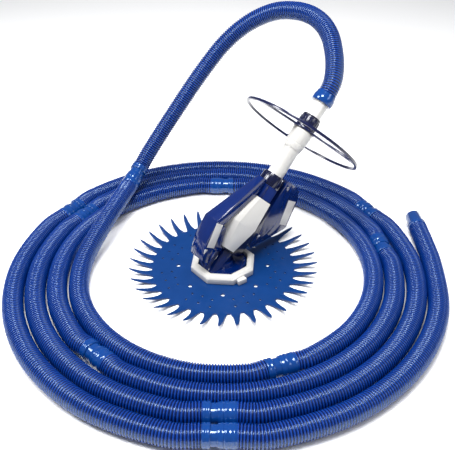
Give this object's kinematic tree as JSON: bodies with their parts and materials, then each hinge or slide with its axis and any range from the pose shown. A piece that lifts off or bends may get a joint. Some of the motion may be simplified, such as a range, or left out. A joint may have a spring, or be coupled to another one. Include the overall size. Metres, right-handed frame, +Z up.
{
  "type": "suction pool cleaner",
  "caption": "Suction pool cleaner with a finned rubber disc, faceted body, bumper wings, telescopic pipe, deflector wheel and a coiled sectional hose.",
  "frame": {"origin": "centre of the suction mouth on the floor the disc rests on", "axes": "+Z up along the disc's axis, +X the way the body and pipe lean, +Y to the side, so that the hose's arch falls on +Y"},
  "size_m": [0.9963, 0.9548, 0.4866],
  "materials": {
    "disc_rubber": "satin",
    "navy_plastic": "gloss",
    "blue_plastic": "gloss",
    "white_plastic": "gloss",
    "black_rubber": "matte",
    "black_plastic": "satin",
    "steel": "brushed",
    "hose_plastic": "gloss"
  },
  "bodies": {
    "cleaner": {"foot_pad": "disc_rubber", "foot_housing": "navy_plastic", "pad_screws": "steel", "throat_tube": "navy_plastic", "left_body_shell": "navy_plastic", "right_body_shell": "navy_plastic", "left_cover": "white_plastic", "right_cover": "white_plastic", "front_wing": "blue_plastic", "rear_wing": "blue_plastic", "front_insert_left": "white_plastic", "front_insert_right": "white_plastic", "rear_insert_left": "white_plastic", "rear_insert_right": "white_plastic", "wing_screws": "steel", "cassette_housing": "white_plastic", "diaphragm": "black_rubber", "diaphragm_retainer": "white_plastic", "cassette_spacer": "white_plastic", "neck_collar": "blue_plastic", "neck_seal": "black_rubber", "inner_pipe": "white_plastic", "hose_01": "hose_plastic", "hose_02": "hose_plastic", "hose_03": "hose_plastic", "hose_04": "hose_plastic", "hose_05": "hose_plastic", "hose_06": "hose_plastic", "hose_07": "hose_plastic", "hose_08": "hose_plastic", "hose_09": "hose_plastic", "hose_10": "hose_plastic", "hose_11": "hose_plastic", "female_cuffs": "hose_plastic", "male_cuffs": "hose_plastic", "hose_end_cuff": "hose_plastic"},
    "disc": {"finned_disc": "disc_rubber"},
    "lock_ring": {"lock_ring": "white_plastic"},
    "lock_nut": {"lock_nut": "navy_plastic"},
    "guide_ring": {"pipe_guide_ring": "black_plastic"},
    "outer_pipe": {"outer_pipe": "white_plastic", "wheel_clip": "navy_plastic", "pipe_cuff": "hose_plastic"},
    "wheel": {"wheel_hub": "navy_plastic", "wheel_rim": "navy_plastic"}
  },
  "joints": [
    {"name": "disc_turn", "type": "hinge", "parent": "cleaner", "child": "disc", "pos_m": [0, 0, 0], "axis": [0, 0, 1], "continuous": true},
    {"name": "lock_ring_turn", "type": "hinge", "parent": "cleaner", "child": "lock_ring", "pos_m": [0, 0, 0.015], "axis": [0, 0, 1], "range_deg": [-15, 0]},
    {"name": "lock_nut_turn", "type": "hinge", "parent": "cleaner", "child": "lock_nut", "pos_m": [0.14495, 0, 0.17895], "axis": [0.7071, 0, 0.7071], "range_deg": [0, 90]},
    {"name": "pipe_slide", "type": "slide", "parent": "cleaner", "child": "guide_ring", "axis": [0.7071, 0, 0.7071], "range_m": [-0.02, 0]},
    {"name": "pipe_swivel", "type": "hinge", "parent": "guide_ring", "child": "outer_pipe", "pos_m": [0.2132, 0, 0.2472], "axis": [0.7071, 0, 0.7071], "continuous": true},
    {"name": "wheel_turn", "type": "hinge", "parent": "outer_pipe", "child": "wheel", "pos_m": [0.24006, 0, 0.27406], "axis": [0.7071, 0, 0.7071], "continuous": true}
  ]
}
